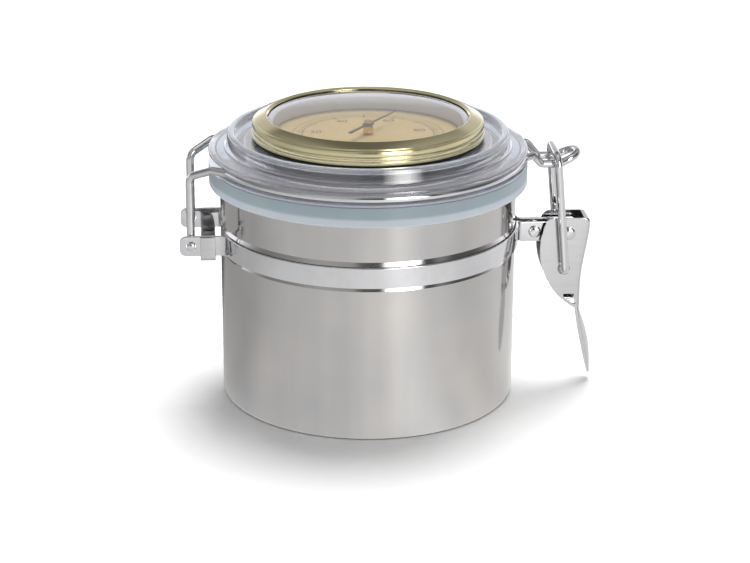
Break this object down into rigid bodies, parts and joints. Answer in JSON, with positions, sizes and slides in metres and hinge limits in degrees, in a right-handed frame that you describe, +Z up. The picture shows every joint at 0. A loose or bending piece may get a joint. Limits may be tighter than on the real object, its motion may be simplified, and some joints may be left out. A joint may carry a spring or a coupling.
{
  "type": "clamp lid canister with hygrometer",
  "caption": "Round metal canister with a clear gasketed lid, a wire ring hinge, an over-centre clasp and a dial hygrometer set in the lid.",
  "frame": {"origin": "centre of the flat underside", "axes": "+Z up, +X towards the clasp, -X towards the hinge, -Y towards the front half of the band"},
  "size_m": [0.1417, 0.1074, 0.0986],
  "materials": {
    "brushed_steel": "soft brushed, warm grey",
    "bright_plated_steel": "bright plated",
    "pale_polished_brass": "polished, pale",
    "yellow_brass": "plain",
    "clear_plastic": "clear, glossy",
    "window_plastic": "clear, glossy",
    "pale_blue_silicone": "translucent, satin",
    "black_rubber": "matt",
    "beige_dial": "matt paint",
    "grey_inner_ring": "satin",
    "black_case": "matt",
    "dull_needle_steel": "dull",
    "copper_strip": "plain copper strip"
  },
  "bodies": {
    "canister": {"canister_body": "brushed_steel", "front_half_band": "bright_plated_steel", "rear_half_band": "bright_plated_steel", "hinge_clip": "bright_plated_steel", "clasp_rivet": "bright_plated_steel", "clasp_spacer": "bright_plated_steel", "lever_pin": "bright_plated_steel"},
    "lever": {"lever": "brushed_steel"},
    "clamp_bail": {"clamp_bail": "bright_plated_steel"},
    "lid_assembly": {"lid": "clear_plastic", "lid_gasket": "pale_blue_silicone", "lid_wire": "bright_plated_steel", "hygrometer_case": "black_case", "dial_plate": "beige_dial", "inner_ring": "grey_inner_ring", "crystal": "window_plastic", "hygrometer_bezel": "pale_polished_brass", "bezel_seal": "black_rubber", "movement_bridge": "yellow_brass", "hygro_coil": "copper_strip"},
    "needle": {"arbor": "yellow_brass", "pointer_hub": "yellow_brass", "pointer": "dull_needle_steel", "pointer_cap": "yellow_brass"}
  },
  "joints": [
    {"name": "lid_hinge", "type": "hinge", "parent": "canister", "child": "lid_assembly", "pos_m": [-0.06, 0, 0.0569], "axis": [0, -1, 0], "range_deg": [0, 105]},
    {"name": "clasp_lever", "type": "hinge", "parent": "canister", "child": "lever", "pos_m": [0.0683, 0, 0.0554], "axis": [0, -1, 0], "range_deg": [0, 100]},
    {"name": "bail_swing", "type": "hinge", "parent": "lever", "child": "clamp_bail", "pos_m": [0.0669, 0, 0.0427], "axis": [0, -1, 0], "range_deg": [-76, 0]},
    {"name": "needle_turn", "type": "hinge", "parent": "lid_assembly", "child": "needle", "pos_m": [0, 0, 0.0898], "axis": [0, 0, 1], "range_deg": [-102, 168]}
  ],
  "couplings": [
    {"joint": "bail_swing", "follows": "clasp_lever", "ratio": -0.75}
  ]
}
